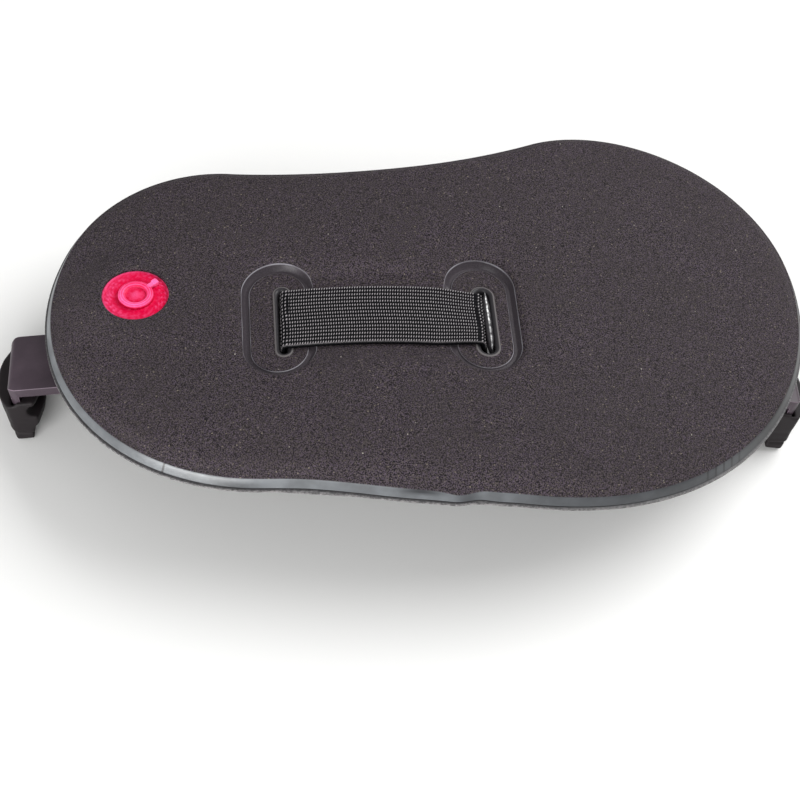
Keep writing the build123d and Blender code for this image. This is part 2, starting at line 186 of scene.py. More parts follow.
# Plan shapes: centre x and y, length along y, width and lean.  A weld's shape is the middle of its line.
WELDS = (
    (STRAP_X[0] - 0.7, STRAP_Y, 36.7, 17.2, LEAN),
    (STRAP_X[1] - 1.4, STRAP_Y + 1.0, 36.7, 17.2, LEAN),
)
SLOTS = (
    (STRAP_X[0] + 0.5, STRAP_Y, 21.8, 1.9, LEAN),
    (STRAP_X[1] - 0.7, STRAP_Y, 21.8, 3.8, LEAN),
)

# ---- Valve ----
VALVE_X = -75.1
VALVE_Y = 1.15
VALVE_HOLE_R = 9.0
TOP_HIGH = 11.07  # level of the skin's upper face round the valve
FLANGE_TOP = TOP_HIGH - SKIN - 0.02
FLANGE_THICK = 1.0
FLANGE_R = 11.5
BORE_R = 2.6
STEM_R = 4.2
STEM_LOW = 6.6
CAP_LOW = FLANGE_TOP + 0.02
CAP_R = 4.8
DIMPLE_R = 2.75
SHANK_R = 2.5
SHANK_LOW = 6.95
VALVE_TILT = 0.11  # rise of the flange, the cap and the skin round them, per mm outward from the axis
# Distance down the slope from the end of the arch to the valve's axis.
VALVE_RUN = (-VALVE_X - ARCH_HALF - TOP_HIGH * math.sin(SLOPE)) / math.cos(SLOPE)
TAB_TURN = math.radians(220)
# The tab's sections: distance from the axis, half-width, and its under and upper faces above the cap's foot.
TAB = (
    (3.1, 0.62, 0.25, 0.95),
    (4.6, 0.66, 0.25, 1.18),
    (5.6, 0.62, 0.3, 1.15),
    (6.0, 0.82, 0.25, 1.42),
    (7.0, 0.86, 0.25, 1.5),
    (7.35, 0.7, 0.4, 1.35),
)

# ---- Boots: depth, height above the sole and half-height of the creases over the toe ----
TOE_CREASES = ((0.42, 3.0, 0.42), (-0.15, 4.0, 0.6), (0.1, 7.5, 0.9))

# ---- Camera and lights ----
CAMERA_ANGLES = tuple(math.radians(angle) for angle in (-8.5, 51, 7.475))  # azimuth, elevation and roll
CAMERA_AIM = (-2.6, BAR_Y - 6.0, 14.46)
CAMERA_AWAY = 560.0
CAMERA_LENS = 91.6
# Lights, in metres: the point they face, and the place, size and power of each.
LIGHT_AIM = (0, 0, 0.02)
LIGHTS = {
    "key": ((-0.35, -0.75, 0.6), (0.6, 0.5), 5.4),
    "top": ((0.6, 0.25, 0.7), (0.8, 0.7), 9.4),
    "rim": ((-0.55, -0.62, 0.06), (0.5, 0.1), 6),
}


# ---------- helpers
def roof_z(x, level=0.0):
    """Height of the roof line at plan x, raised by a level."""
    x = np.abs(np.asarray(x, float))
    radius = ARCH_R + level
    tangent = radius * math.sin(SLOPE)
    curved = ARCH_Z + np.sqrt(radius**2 - np.minimum(x, tangent) ** 2)
    return curved - np.maximum(x - tangent, 0) * math.tan(SLOPE)


def ramp(value, low, high):
    """Smooth step from 0 at low to 1 at high."""
    t = np.clip((np.asarray(value, float) - low) / (high - low), 0, 1)
    return t * t * (3 - 2 * t)


def bump(value, centre, width):
    """Bell curve of height 1."""
    return np.exp(-(((value - centre) / width) ** 2))


def angle_to(circle, other):
    """Direction from one circle's centre to another's."""
    return math.atan2(other[1] - circle[1], other[0] - circle[0])


def flank(end, radius, drop, side):
    """Larger circle that a lobe's end circle touches from inside."""
    apart = radius - end[2]
    return (end[0] + side * math.sqrt(apart**2 - drop**2), end[1] - drop, radius)


LEFT_FLANK = flank(LEFT_END, LEFT_FLANK_R, LEFT_FLANK_DROP, 1)
RIGHT_FLANK = flank(RIGHT_END, RIGHT_FLANK_R, RIGHT_FLANK_DROP, -1)
FLANK_SPAN = math.dist(LEFT_FLANK[:2], RIGHT_FLANK[:2])
DOWN = angle_to(LEFT_FLANK, RIGHT_FLANK) - math.pi / 2 - (RIGHT_FLANK_R - LEFT_FLANK_R) / FLANK_SPAN
# Arcs of the outline, anticlockwise: circle, first angle, last angle, and +1 where the cushion is inside it.
ARCS = (
    (RIGHT_FLANK, DOWN, angle_to(RIGHT_FLANK, RIGHT_END), 1),
    (RIGHT_END, angle_to(RIGHT_FLANK, RIGHT_END), angle_to(RIGHT_END, WAIST), 1),
    (WAIST, angle_to(WAIST, RIGHT_END), angle_to(WAIST, LEFT_END), -1),
    (LEFT_END, angle_to(LEFT_END, WAIST), angle_to(LEFT_FLANK, LEFT_END), 1),
    (LEFT_FLANK, angle_to(LEFT_FLANK, LEFT_END), DOWN + 2 * math.pi, 1),
)


def front_line(inset=0.0):
    """Ends of the outline's straight front, drawn in by an inset."""
    normal = np.array([math.cos(DOWN), math.sin(DOWN)])
    return [np.array(circle[:2]) + (circle[2] - inset) * normal for circle in (LEFT_FLANK, RIGHT_FLANK)]


def rim_points(step, inset=0.0):
    """Points along the cushion's outline, drawn in by an inset."""
    points = []
    for (cx, cy, radius), first, last, side in ARCS:
        count = max(2, round(abs(last - first) * radius / step))
        angles = first + (last - first) * np.arange(count) / count
        reach = radius - side * inset
        points.append(np.c_[cx + reach * np.cos(angles), cy + reach * np.sin(angles)])
    start, finish = front_line(inset)
    count = round(float(np.hypot(*(finish - start))) / step)
    points.append(start + (finish - start) * (np.arange(count) / count)[:, None])
    return np.vstack(points)


def rim_distance(x, y):
    """Distance from the cushion's outline, positive inside it."""
    best = np.full(np.shape(x), 1e9)
    for (cx, cy, radius), first, last, side in ARCS:
        low, high = min(first, last), max(first, last)
        angles = (np.arctan2(y - cy, x - cx) - low) % (2 * math.pi)
        gap = side * (radius - np.hypot(x - cx, y - cy))
        nearer = (angles <= high - low + 1e-6) & (np.abs(gap) < np.abs(best))
        best = np.where(nearer, gap, best)
    start, finish = front_line()
    length = np.hypot(*(finish - start))
    along = (finish - start) / length
    t = (x - start[0]) * along[0] + (y - start[1]) * along[1]
    gap = (y - start[1]) * along[0] - (x - start[0]) * along[1]
    nearer = (t >= 0) & (t <= length) & (np.abs(gap) < np.abs(best))
    return np.where(nearer, gap, best)


def stadium(x, y, shape):
    """Distance from a stadium-shaped outline, positive outside it."""
    cx, cy, length, width, lean = shape
    across = (x - cx) * math.cos(lean) + (y - cy) * math.sin(lean)
    along = (y - cy) * math.cos(lean) - (x - cx) * math.sin(lean)
    over = np.maximum(np.abs(along) - (length - width) / 2, 0)
    return np.hypot(across, over) - width / 2


def stadium_points(shape, offset, step):
    """Points around a stadium-shaped outline at an offset."""
    cx, cy, length, width, lean = shape
    radius, half = width / 2 + offset, (length - width) / 2
    arc = np.linspace(0, math.pi, max(6, round(math.pi * radius / step)))
    count = max(2, round(2 * half / step))
    across = np.r_[radius * np.cos(arc), np.full(count - 1, -radius)]
    along = np.r_[half + radius * np.sin(arc), half - 2 * half * np.arange(1, count) / count]
    across, along = np.r_[across, -across], np.r_[along, -along]
    x = cx + across * math.cos(lean) - along * math.sin(lean)
    return np.c_[x, cy + along * math.cos(lean) + across * math.sin(lean)]


def circle_points(cx, cy, radius, step):
    angles = np.linspace(0, 2 * math.pi, max(12, round(2 * math.pi * radius / step)), endpoint=False)
    return np.c_[cx + radius * np.cos(angles), cy + radius * np.sin(angles)]


def weld_distance(x, y):
    """Distance from the nearer weld line, positive outside it."""
    return np.minimum(*(stadium(x, y, shape) for shape in WELDS))


def slot_distance(x, y):
    return np.minimum(*(stadium(x, y, shape) for shape in SLOTS))


def valve_distance(x, y):
    return np.hypot(x - VALVE_X, y - VALVE_Y) - VALVE_HOLE_R


def plan_mesh(step, rim, weld=(), slot=(), valve=()):
    """Triangles that cover the cushion's plan, with edges along loops at the offsets asked for.

    An offset of 0 for the slots or the valve leaves their opening out of the plan.
    """
    weld_step, hole_step = 0.9, 0.6
    loops = [rim_points(step, inset) for inset in rim]
    loops += [stadium_points(shape, offset, weld_step) for shape in WELDS for offset in weld]
    loops += [stadium_points(shape, offset, hole_step) for shape in SLOTS for offset in slot]
    loops += [circle_points(VALVE_X, VALVE_Y, VALVE_HOLE_R + offset, hole_step) for offset in valve]
    low, high = loops[0].min(0), loops[0].max(0)
    rows = np.arange(low[1], high[1], step * math.sqrt(3) / 2)
    columns = np.arange(low[0], high[0], step)
    grid = np.array([(x + step / 2 * (row % 2), y) for row, y in enumerate(rows) for x in columns])
    x, y = grid.T
    # The grid's own points keep clear of the loops.
    clear = rim_distance(x, y) > rim[-1] + 0.6 * step
    if weld:
        gap = weld_distance(x, y)
        clear &= (gap < weld[0] - 0.6 * weld_step) | (gap > weld[-1] + 0.6 * weld_step)
    if slot:
        clear &= slot_distance(x, y) > slot[-1] + 0.5 * weld_step
    if valve:
        clear &= valve_distance(x, y) > valve[-1] + 0.5 * weld_step
    points, edges = [], []
    for loop in loops:
        first = len(points)
        points += [Vector(p) for p in loop]
        edges += [(first + i, first + (i + 1) % len(loop)) for i in range(len(loop))]
    points += [Vector(p) for p in grid[clear]]
    verts, _, faces, *_ = geometry.delaunay_2d_cdt(points, edges, [], 0, 1e-5)
    plan = np.array([tuple(v) for v in verts])
    faces = np.array(faces)
    centre = plan[faces].mean(1).T
    keep = rim_distance(*centre) > rim[0]
    if slot and slot[0] == 0:
        keep &= slot_distance(*centre) > 0
    if valve and valve[0] == 0:
        keep &= valve_distance(*centre) > 0
    used, faces = np.unique(faces[keep], return_inverse=True)
    return plan[used], faces.reshape(-1, 3)


def shell(plan, faces, upper, lower):
    """Closed solid between two heights over a plan."""
    count = len(plan)
    verts = np.vstack([np.c_[plan, upper], np.c_[plan, lower]])
    directed = np.vstack([faces[:, [0, 1]], faces[:, [1, 2]], faces[:, [2, 0]]])
    known = {tuple(edge) for edge in directed.tolist()}
    rim = [(a, b) for a, b in known if (b, a) not in known]
    walls = [(b, a, a + count, b + count) for a, b in sorted(rim)]
    return verts, faces.tolist() + (faces[:, ::-1] + count).tolist() + walls


def tube(size, count, closed=False):
    """Quads between rings of points, one after another, with caps unless the tube closes on itself."""
    last = (count - 1) * size
    faces = [] if closed else [tuple(range(size))[::-1], tuple(last + i for i in range(size))]
    for ring in range(count if closed else count - 1):
        a, b = ring * size, (ring + 1) % count * size
        faces += [(a + i, a + (i + 1) % size, b + (i + 1) % size, b + i) for i in range(size)]
    return faces


def linked(name, data):
    """New object in the scene."""
    obj = bpy.data.objects.new(name, data)
    bpy.context.scene.collection.objects.link(obj)
    return obj


def make(name, verts, faces, material, body=None, node=None):
    """Smooth-shaded object from points in millimetres, riding on a body and standing for a CAD node."""
    mesh = bpy.data.meshes.new(name)
    mesh.from_pydata([tuple(v) for v in np.asarray(verts, float) * MM], [], [tuple(f) for f in faces])
    mesh.update()
    obj = linked(name, mesh)
    mesh.materials.append(material)
    mesh.polygons.foreach_set("use_smooth", [True] * len(mesh.polygons))
    if body:
        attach(obj, body)
    if node:
        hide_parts(node)
    return obj


def paint(obj, name, values):
    """Per-vertex number that a material reads."""
    layer = obj.data.attributes.new(name, "FLOAT", "POINT")
    layer.data.foreach_set("value", np.asarray(values, np.float32))


def sharpen(obj, degrees):
    """Smooth shading, except along edges sharper than an angle."""
    obj.data.set_sharp_from_angle(angle=math.radians(degrees))


def weigh(obj, weights):
    """Share of the crown's rise that each point takes."""
    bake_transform(obj, "bridge", "cushion_crown", (0, 0, 0), (0, 0, 0.01))
    obj.data.attributes["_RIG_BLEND"].data.foreach_set("value", np.asarray(weights, np.float32))


# ---------- materials
FOAM_DARK = (0.002, 0.001, 0.002)
FOAM_PALE = (0.080, 0.061, 0.083)
FOAM_WARM = (0.082, 0.070, 0.056)
FOAM_CLOUD = (0.030, 0.025, 0.025)
# Pale specks in the foam: spacing, share of the places without one, and colour.
FOAM_SPECKS = ((0.9, 0.80, (0.17, 0.145, 0.115)), (2.3, 0.92, (0.46, 0.43, 0.38)))
# The band's own dark colour, and the colour of the painted sheen on it.
BAND_DARK = (0.014, 0.014, 0.016)
BAND_SHEEN = (0.118, 0.127, 0.137)
# Painted shade in the band's nick and creases.
BAND_CREASE_SHADE = (0.008, 0.007, 0.008)
WELD_FLOOR = (0.050, 0.043, 0.050)
# Painted highlight on the edges of the weld channels.
WELD_EDGE_HIGHLIGHT = (0.30, 0.29, 0.32)
SLOT_COLLAR = (0.028, 0.026, 0.029)
LIP_EDGE = (0.15, 0.14, 0.14)
SHEET_DARK = (0.018, 0.017, 0.019)
SHEET_PALE = (0.026, 0.025, 0.028)
SHEET_CUT = (0.24, 0.23, 0.23)
WEAVE_DARK = (0.002, 0.002, 0.003)
WEAVE_PALE = (0.385, 0.355, 0.37)
TONGUE_BLACK = (0.022, 0.020, 0.023)
WHITE = (1.0, 1.0, 1.0)


class Surface:
    """A material with its principled shader and the nodes that feed it."""

    def __init__(self, name, color, roughness, **more):
        self.material = bpy.data.materials.new(name)
        self.material.use_nodes = True
        self.tree = self.material.node_tree
        self.shader = self.tree.nodes["Principled BSDF"]
        more.update(Base_Color=(*color, 1), Roughness=roughness)
        for key, value in more.items():
            self.shader.inputs[key.replace("_", " ")].default_value = value

    def add(self, kind, inputs=None, **settings):
        """New node with its inputs set or linked."""
        node = self.tree.nodes.new(kind)
        for key, value in settings.items():
            setattr(node, key, value)
        for key, value in (inputs or {}).items():
            if isinstance(value, bpy.types.NodeSocket):
                self.tree.links.new(value, node.inputs[key])
            else:
                node.inputs[key].default_value = value
        return node

    def join(self, socket, key):
        """Feed one of the shader's inputs."""
        self.tree.links.new(socket, self.shader.inputs[key])

    def place(self):
        return self.add("ShaderNodeTexCoord").outputs["Object"]

    def painted(self, name):
        """Number painted on the mesh's points."""
        return self.add("ShaderNodeAttribute", attribute_name=name).outputs["Fac"]

    def grain(self, size, detail=2.0, roughness=0.6):
        """Noise whose features are about as large as asked."""
        inputs = {"Vector": self.place(), "Scale": 1 / (size * MM), "Detail": detail, "Roughness": roughness}
        return self.add("ShaderNodeTexNoise", inputs).outputs["Fac"]

    def math(self, operation, *values):
        return self.add("ShaderNodeMath", dict(enumerate(values)), operation=operation).outputs[0]

    def times(self, first, second):
        return self.math("MULTIPLY", first, second)

    def vector(self, operation, *values):
        return self.add("ShaderNodeVectorMath", dict(enumerate(values)), operation=operation).outputs

    def remap(self, value, low, high, out_low=0, out_high=1):
        """Value carried from one range to another, and held inside it."""
        inputs = dict(enumerate((value, low, high, out_low, out_high)))
        return self.add("ShaderNodeMapRange", inputs, clamp=True).outputs[0]

    def mix(self, share, first, second):
        """Colour between two, each given as a tuple or a socket."""
        inputs = {"Factor_Float": share, "A_Color": first, "B_Color": second}
        node = self.add("ShaderNodeMix", data_type="RGBA")
        for socket in node.inputs:
            value = inputs.get(socket.identifier)
            if isinstance(value, bpy.types.NodeSocket):
                self.tree.links.new(value, socket)
            elif value:
                socket.default_value = (*value, 1)
        return next(socket for socket in node.outputs if socket.identifier == "Result_Color")

    def near_line(self, distance, centre, half, soft):
        """1 where a distance is within half of a centre value, fading over soft."""
        away = self.math("ABSOLUTE", self.math("SUBTRACT", distance, centre))
        return self.remap(away, half, half + soft, 1, 0)

    def relief(self, height, depth, strength=0.5):
        inputs = {"Height": height, "Distance": depth * MM, "Strength": strength}
        self.join(self.add("ShaderNodeBump", inputs).outputs[0], "Normal")


def foam_grain(foam, fine):
    """Mottled black of the foam, with fine pale specks and rarer, brighter ones."""
    tint = foam.mix(foam.remap(foam.grain(0.5, 1), 0.42, 0.62, 0, 0.7), FOAM_PALE, FOAM_WARM)
    mottled = foam.mix(foam.remap(fine, 0.43, 0.60), FOAM_DARK, tint)
    color = foam.mix(foam.remap(foam.grain(16, 3), 0.3, 0.7, 0, 0.35), mottled, FOAM_CLOUD)
    for spacing, empty, pale in FOAM_SPECKS:
        cells = foam.add("ShaderNodeTexVoronoi", {"Vector": foam.place(), "Scale": 1 / (spacing * MM)})
        chance = foam.add("ShaderNodeSeparateColor", {0: cells.outputs["Color"]}).outputs[0]
        dots = foam.remap(cells.outputs["Distance"], 0.10 / spacing, 0.26 / spacing, 1, 0)
        color = foam.mix(foam.times(dots, foam.remap(chance, empty, 1)), color, pale)
    return color


def rim_shade(foam, spot, direction, pitch, reach, strength):
    """Painted shade: dark strokes across the rim around one spot, standing for the shade in the nick and the
    creases there.
    """
    flat = foam.vector("MULTIPLY", foam.place(), (1, 1, 0))[0]
    away = foam.vector("SUBTRACT", flat, (spot[0] * MM, spot[1] * MM, 0))[0]
    along = foam.vector("DOT_PRODUCT", away, (*direction, 0))["Value"]
    radius = foam.vector("LENGTH", away)["Value"]
    stroke = foam.near_line(foam.math("PINGPONG", along, pitch * MM / 2), 0, 0.16 * MM, 0.30 * MM)
    return foam.times(stroke, foam.remap(radius, 0.6 * reach * MM, reach * MM, strength, 0))


def foam_material():
    """Fine-grained black foam skin; its band, its welds and the collars of its slots are smooth and satin,
    with a painted sheen and painted shade on the band and a painted highlight on the weld edges.
    """
    foam = Surface("foam_skin", (0.03, 0.027, 0.03), 0.8)
    rim, weld, slot, wear_and_sheen = (foam.painted(name) for name in ("rim", "weld", "slot", "wear_and_sheen"))
    # Painted sheen along the band, broken up by wide noise.
    painted_highlight = foam.times(wear_and_sheen, foam.remap(foam.grain(9, 3), 0.36, 0.64, 0.55, 1))
    # Painted shade of the nick and the creases darkens the band.
    nick, creases = (rim_shade(foam, *mark) for mark in RIM_SHADES)
    satin = foam.mix(foam.math("MAXIMUM", nick, creases), foam.mix(painted_highlight, BAND_DARK, BAND_SHEEN), BAND_CREASE_SHADE)
    band = foam.remap(rim, BAND_WIDTH - 0.12, BAND_WIDTH + 0.05, 1, 0)
    ring = foam.near_line(weld, 0, 0.95, 0.12)
    # Painted highlight along the edges of the weld channel, uneven.
    ring_edge = foam.math("SUBTRACT", foam.near_line(weld, 0, 1.10, 0.10), ring)
    uneven = foam.remap(foam.grain(12, 2), 0.4, 0.6, 0.35, 1)
    collar = foam.near_line(slot, 0.4, 0.6, 0.15)
    lip = foam.near_line(slot, 1.25, 0.10, 0.2)
    fine = foam.grain(0.34, 2, 0.8)
    color = foam_grain(foam, fine)
    color = foam.mix(foam.times(ring, 0.75), color, WELD_FLOOR)
    color = foam.mix(collar, color, SLOT_COLLAR)
    color = foam.mix(foam.times(ring_edge, uneven), color, WELD_EDGE_HIGHLIGHT)
    color = foam.mix(foam.times(lip, 0.8), color, LIP_EDGE)
    foam.join(foam.mix(band, color, satin), "Base Color")
    smooth = foam.math("MAXIMUM", foam.math("MAXIMUM", band, ring), collar)
    foam.join(foam.remap(smooth, 0, 1, 0.85, 0.36), "Roughness")
    foam.join(foam.remap(foam.times(band, wear_and_sheen), 0, 1, 0.2, 0.6), "Specular IOR Level")
    foam.relief(foam.times(fine, foam.remap(smooth, 0, 1, 1, 0.08)), 0.10)
    return foam.material


def moulded_material(name, color, roughness, size=0.5, depth=0.02, specular=0.5):
    """Moulded plastic or rubber with a faint grain, uneven gloss, paler worn patches, and a painted highlight
    on its rounded edges.
    """
    moulded = Surface(name, color, roughness, Specular_IOR_Level=specular)
    wide = moulded.grain(7, 4)
    wear_and_sheen = tuple(c * 1.5 + 0.004 for c in color)
    painted_highlight = tuple(c * 3.5 + 0.03 for c in color)
    patchy = moulded.mix(moulded.remap(wide, 0.45, 0.75, 0, 0.6), color, wear_and_sheen)
    # Painted highlight along the rounded edges, uneven.
    share = moulded.times(moulded.painted("edge"), moulded.remap(wide, 0.35, 0.6, 0.45, 1))
    moulded.join(moulded.mix(share, patchy, painted_highlight), "Base Color")
    moulded.join(moulded.remap(wide, 0.3, 0.7, roughness - 0.07, roughness + 0.09), "Roughness")
    moulded.relief(moulded.grain(size, 3), depth)
    return moulded.material


def sheet_material():
    """Grained black sheet with a pale, speckled cut edge."""
    sheet = Surface("base_vinyl", (0.02, 0.019, 0.021), 0.55)
    wide = sheet.grain(8, 4)
    speckled = sheet.times(sheet.painted("cut"), sheet.remap(sheet.grain(0.7, 2), 0.40, 0.62, 0.1, 1))
    plain = sheet.mix(sheet.remap(wide, 0.3, 0.7), SHEET_DARK, SHEET_PALE)
    sheet.join(sheet.mix(speckled, plain, SHEET_CUT), "Base Color")
    sheet.join(sheet.remap(wide, 0.3, 0.7, 0.42, 0.62), "Roughness")
    sheet.relief(sheet.grain(0.6, 3), 0.05)
    return sheet.material


def metal_material(name, color, roughness):
    """Metal with fine brush marks."""
    metal = Surface(name, color, roughness, Metallic=1.0)
    stretched = metal.add("ShaderNodeMapping", {"Vector": metal.place(), "Scale": (1, 9, 1)}).outputs[0]
    noise = metal.add("ShaderNodeTexNoise", {"Vector": stretched, "Scale": 900.0, "Detail": 3.0})
    brushed = noise.outputs["Fac"]
    dull = tuple(c * 0.72 for c in color)
    metal.join(metal.mix(metal.remap(brushed, 0.35, 0.65), color, dull), "Base Color")
    metal.join(metal.remap(brushed, 0.3, 0.7, roughness - 0.08, roughness + 0.12), "Roughness")
    metal.relief(brushed, 0.01, 0.4)
    return metal.material


def elastic_material():
    """Black woven elastic; the raised floats of the weave are grey."""
    elastic = Surface("woven_elastic", (0.02, 0.02, 0.02), 0.62, Specular_IOR_Level=0.2)
    weave, fine = elastic.painted("weave"), elastic.grain(0.16, 2)
    lifted = elastic.times(weave, elastic.remap(fine, 0.25, 0.75, 0.6, 1.15))
    elastic.join(elastic.mix(elastic.remap(lifted, 0.45, 0.9), WEAVE_DARK, WEAVE_PALE), "Base Color")
    elastic.join(elastic.remap(weave, 0, 1, 0.06, 0.4), "Specular IOR Level")
    elastic.join(elastic.remap(weave, 0, 1, 0.75, 0.5), "Roughness")
    elastic.relief(fine, 0.05, 0.6)
    return elastic.material


def tongue_material():
    """Smooth black tongue with a pale, broken line along its crest."""
    tongue = Surface("slot_tongue", (0.02, 0.019, 0.021), 0.3)
    broken = tongue.remap(tongue.grain(0.6, 3), 0.35, 0.6, 0.7, 2.0)
    share = tongue.times(tongue.painted("glint"), broken)
    tongue.join(tongue.mix(share, TONGUE_BLACK, WHITE), "Base Color")
    tongue.join(tongue.remap(tongue.grain(1.5, 3), 0.3, 0.7, 0.2, 0.42), "Roughness")
    return tongue.material


def vinyl_material(name, deep, pale):
    """Soft translucent vinyl, paler where it is thin or raised; part of that paleness is painted light and
    painted highlight.
    """
    vinyl = Surface(name, deep, 0.3, Specular_IOR_Level=0.12)
    wrinkle = vinyl.grain(1.1, 3)
    share = vinyl.math("ADD", vinyl.painted("pale"), vinyl.remap(wrinkle, 0.3, 0.7, -0.14, 0.14))
    vinyl.join(vinyl.mix(share, deep, pale), "Base Color")
    vinyl.join(vinyl.remap(wrinkle, 0.3, 0.7, 0.30, 0.5), "Roughness")
    vinyl.relief(vinyl.grain(0.5, 2), 0.05, 0.35)
    return vinyl.material


FOAM = foam_material()
BASE_VINYL = sheet_material()
PLASTIC = moulded_material("arm_plastic", (0.037, 0.025, 0.034), 0.42, specular=0.38)
BAR_PLASTIC = moulded_material("bar_plastic", (0.014, 0.013, 0.015), 0.40, 0.6, 0.04)
RUBBER = moulded_material("boot_rubber", (0.0065, 0.0042, 0.0052), 0.62, 0.45, 0.04, 0.26)
STEEL = metal_material("screw_steel", (0.62, 0.62, 0.63), 0.3)
BRASS = metal_material("insert_brass", (0.78, 0.58, 0.25), 0.32)
ELASTIC = elastic_material()
TONGUE = tongue_material()
RED_VINYL = vinyl_material("red_vinyl", (0.62, 0.0, 0.044), (0.95, 0.13, 0.36))
THREAD = moulded_material("stitch_thread", (0.16, 0.16, 0.16), 0.7, 0.2, 0.05)


# ---------- cushion skins
CLOTH = {
    "vertex_group_mass": "welds",
    "quality": 6,
    "mass": 0.3,
    "tension_stiffness": 40,
    "compression_stiffness": 40,
    "bending_stiffness": 0.5,
    "use_pressure": True,
    "uniform_pressure_force": 4,
}


def inflate_skin():
    """Crown of the top skin between its welds, by cloth simulation; returns height shares on a plan."""
    plan, faces = plan_mesh(3.2, (0.0, 2.2, 4.4), (-1.0, 0.4, 2.4))
    scale = 0.01  # one unit is 100 mm, where the cloth solver is well behaved
    mesh = bpy.data.meshes.new("skin_form")
    # The sheet starts a little domed, so that the pressure lifts it.
    rise = 0.004 * np.clip(rim_distance(*plan.T), 0, 10)
    mesh.from_pydata([tuple(v) for v in np.c_[plan * scale, rise]], [], faces.tolist())
    form = linked("skin_form", mesh)
    held = (rim_distance(*plan.T) < 2.5) | (weld_distance(*plan.T) < 0.6)
    group = form.vertex_groups.new(name="welds")
    group.add([int(i) for i in np.flatnonzero(held)], 1.0, "REPLACE")
    cloth = form.modifiers.new("cloth", "CLOTH")
    for key, value in CLOTH.items():
        setattr(cloth.settings, key, value)
    cloth.settings.effector_weights.gravity = 0
    cloth.collision_settings.use_collision = False
    frames = 24
    cloth.point_cache.frame_end = frames
    scene = bpy.context.scene
    for number in range(1, frames + 1):
        scene.frame_set(number)
    posed = form.evaluated_get(bpy.context.evaluated_depsgraph_get())
    height = np.array([v.co.z for v in posed.data.vertices])
    height[held] = 0
    scene.frame_set(1)
    bpy.data.objects.remove(form)
    return plan, faces, np.clip(height / height.max(), 0, 1)


def crown_share(x, y):
    """Crown of the skin as a share of its full rise, at plan points."""
    plan, faces, share = inflate_skin()
    tall = 10  # height of the full crown while rays are cast at it
    tree = BVHTree.FromPolygons([(*p, s * tall) for p, s in zip(plan, share)], faces.tolist())
    down = Vector((0, 0, -1))
    hits = [tree.ray_cast(Vector((a, b, 5 * tall)), down)[0] for a, b in zip(x, y)]
    found = np.array([hit.z / tall if hit else 0.0 for hit in hits])
    return np.clip(found, 0, 1) ** 0.55


def strap_lift(x):
    """0 at the slots and 1 halfway between them."""
    t = np.clip((x - STRAP_TOP_X[0]) / (STRAP_TOP_X[1] - STRAP_TOP_X[0]), 0, 1)
    return np.sin(math.pi * t) ** 1.2


def strap_under(x):
    """Height of the strap's underside above the cushion's bottom skin."""
    return 3.3 + 0.6 * strap_lift(x)


def strap_weights(x):
    """Share of the crown's rise for the strap: none at the slots, some halfway."""
    return 0.5 * strap_lift(x)


def beside_strap(x, y):
    """Distance to the side of the strap's upper run, and very large beyond its ends."""
    between = (x > STRAP_TOP_X[0]) & (x < STRAP_TOP_X[1])
    return np.where(between, np.maximum(np.abs(y - STRAP_Y) - STRAP_WIDTH / 2, 0), 1e3)


def skin_height(x, y):
    """Height of the top skin above the bottom skin at plan points."""
    rim, weld = rim_distance(x, y), np.abs(weld_distance(x, y))
    slot, valve = slot_distance(x, y), valve_distance(x, y)
    height = np.interp(rim, EDGE_D, EDGE_H) + PUFF * crown_share(x, y)
    # The strap presses the skin down between the slots.
    height = np.minimum(height, strap_under(x) - 0.3 + beside_strap(x, y) * 0.35)
    # Around the valve the skin lies level with the flange.
    near = 1 - ramp(valve, 1.0, 11.0)
    level = FLANGE_TOP + SKIN - TOP_LOW - 0.1 + VALVE_TILT * (VALVE_X - x)
    height = height + near * (level - height)
    # Weld ovals: a channel between two soft shoulders.
    height = height - WELD_DEEP * (1 - ramp(weld, 0.75, 1.15)) + 0.10 * bump(weld, 1.5, 0.45)
    # Slots: a raised lip, a fine groove round it, and a rounded edge.
    lip, groove, edge = bump(slot, 0.95, 0.42), bump(slot, 1.75, 0.3), np.exp(-slot / 0.22)
    height = height + SLOT_LIP * lip - 0.20 * groove - 0.7 * edge
    height = height - 0.35 * np.exp(-np.maximum(valve, 0) / 0.3)
    # A soft fold runs from the strap to the front, and the skin is never quite flat.
    fold_x = FOLD_X + (y + 50) * FOLD_LEAN
    height = height - FOLD_DEEP * bump(x, fold_x, 5.0) * ramp(-y, 24, 60) * ramp(rim, 0.5, 6)
    height = height + 0.35 * bump(x, fold_x + 13, 8) * ramp(-y, 28, 60) * ramp(rim, 0.5, 6)
    waves = np.sin(x / 7.3 + 1.1) * np.sin(y / 9.1 + 0.4) + 0.6 * np.sin(x / 3.9 - y / 5.2)
    return height + 0.045 * waves * ramp(rim, 2, 9)


def rim_wave(x, y):
    """Outward and upward wander of the rim: its free middle sags up to the fold, fading inward."""
    fade = 1 - ramp(rim_distance(x, y), 0.0, 9.0)
    sag = ramp(x, SAG_START, SAG_FULL) * (1 - ramp(x, SAG_RISE, SAG_END)) + 0.25 * bump(x, 17, 6)
    sag = sag * fade * ramp(-y, 40, 60)
    wander = 0.12 * np.sin(x / 11.0 + y / 17.0) * fade
    return SAG_OUT * sag + 0.3 * wander, wander - SAG_DOWN * sag


def crown_weights(x, y):
    """Share of the crown's rise for the top skin: none at the welds, all of it over the air."""

    def quarter(distance, radius):
        return np.sqrt(1 - (1 - np.clip(distance / radius, 0, 1)) ** 2)

    share = quarter(rim_distance(x, y) - 1.2, 15) * quarter(weld_distance(x, y) - 0.8, 12)
    share = np.maximum(share, 1 - ramp(valve_distance(x, y), 0.6, 7))
    return np.minimum(share, strap_weights(x) + beside_strap(x, y) / 9)


